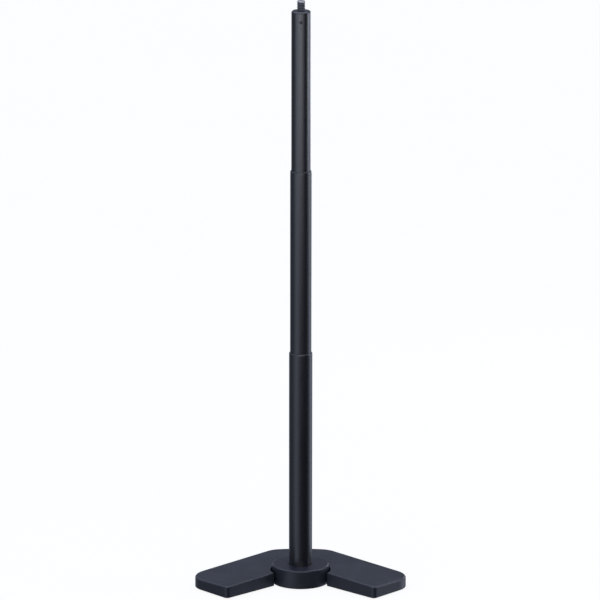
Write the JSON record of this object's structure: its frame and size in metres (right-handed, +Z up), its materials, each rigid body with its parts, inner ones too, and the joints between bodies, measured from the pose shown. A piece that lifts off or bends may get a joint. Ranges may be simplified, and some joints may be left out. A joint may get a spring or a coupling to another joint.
{
  "type": "telescopic table stand",
  "caption": "Table stand with a boomerang-shaped base, a round hub, a telescopic pole of nested tubes and a threaded stud on top.",
  "frame": {"origin": "on the pole's axis, on the surface that the stand rests on", "axes": "+Z up along the pole, -Y towards the front, where the two legs point, +X to the right seen from the front"},
  "size_m": [0.1672, 0.0973, 0.4694],
  "materials": {
    "cover_plastic": "fine matt texture, black with a blue cast",
    "hub_plastic": "fine matt texture, black with a blue cast",
    "tube_lacquer": "satin black lacquer",
    "black_steel": "blackened steel",
    "stud_steel": "blackened steel with a bright tip",
    "zinc_steel": "bright zinc plate",
    "pad_rubber": "matt black",
    "sleeve_plastic": "natural acetal"
  },
  "bodies": {
    "base": {"base_cover": "cover_plastic", "base_plate": "black_steel", "foot_pad": "pad_rubber", "hub": "hub_plastic", "cover_screw_1": "zinc_steel", "cover_screw_2": "zinc_steel", "cover_screw_3": "zinc_steel", "cover_screw_4": "zinc_steel", "cover_screw_5": "zinc_steel", "cover_screw_6": "zinc_steel", "hub_screw_1": "zinc_steel", "hub_screw_2": "zinc_steel", "hub_screw_3": "zinc_steel", "pole_bolt": "zinc_steel", "pole_washer": "zinc_steel", "lower_plug": "black_steel", "lower_tube": "tube_lacquer"},
    "middle_carrier": {"middle_friction_sleeve": "sleeve_plastic"},
    "middle_section": {"middle_plug": "black_steel", "middle_washer": "zinc_steel", "middle_plug_screw": "zinc_steel", "middle_tube": "tube_lacquer"},
    "upper_carrier": {"upper_friction_sleeve": "sleeve_plastic"},
    "upper_section": {"upper_plug": "black_steel", "upper_washer": "zinc_steel", "upper_plug_screw": "zinc_steel", "upper_tube": "tube_lacquer", "head_plug": "tube_lacquer", "thread_stud": "stud_steel", "set_screw": "black_steel"}
  },
  "joints": [
    {"name": "middle_slide", "type": "slide", "parent": "base", "child": "middle_carrier", "axis": [0, 0, 1], "range_m": [-0.143, 0]},
    {"name": "middle_swivel", "type": "hinge", "parent": "middle_carrier", "child": "middle_section", "pos_m": [0, 0, 0.19], "axis": [0, 0, 1], "continuous": true},
    {"name": "upper_slide", "type": "slide", "parent": "middle_section", "child": "upper_carrier", "axis": [0, 0, 1], "range_m": [-0.113, 0]},
    {"name": "upper_swivel", "type": "hinge", "parent": "upper_carrier", "child": "upper_section", "pos_m": [0, 0, 0.336], "axis": [0, 0, 1], "continuous": true}
  ]
}
